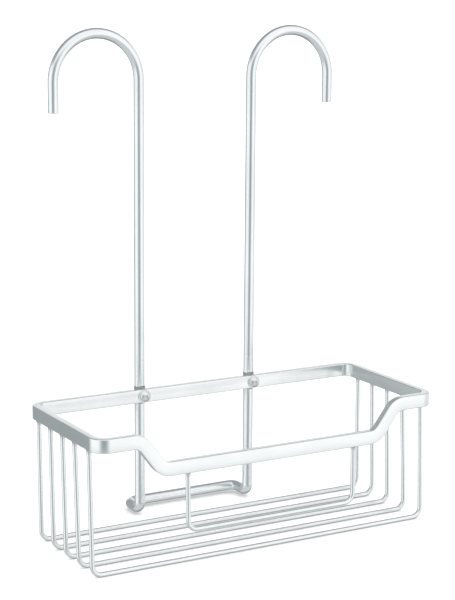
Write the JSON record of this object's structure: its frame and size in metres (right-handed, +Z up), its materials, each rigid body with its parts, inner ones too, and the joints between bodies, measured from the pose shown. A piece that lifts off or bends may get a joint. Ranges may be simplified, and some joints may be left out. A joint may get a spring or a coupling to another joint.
{
  "type": "shower caddy",
  "caption": "Satin metal shower caddy: a flat-bar rimmed wire basket with a dipped front, screwed to a bent rod whose outward hooks hang over a shower mixer's inlets.",
  "frame": {"origin": "on the ground plane that the basket's wires stand on, under the middle of the overall outline", "axes": "+Z up along the uprights, +Y towards the wall, +X to the right as seen from the front"},
  "size_m": [0.25, 0.1274, 0.329],
  "materials": {
    "rod_metal": "satin anodised",
    "rim_metal": "satin anodised",
    "wire_metal": "satin anodised",
    "screw_metal": "satin stainless steel"
  },
  "bodies": {
    "root": {"hook_frame": "rod_metal", "rim": "rim_metal", "base_wire_1": "wire_metal", "base_wire_2": "wire_metal", "base_wire_3": "wire_metal", "base_wire_4": "wire_metal", "base_wire_5": "wire_metal", "front_guard": "wire_metal", "screw_washers": "screw_metal", "fixing_screws": "screw_metal"}
  },
  "joints": []
}
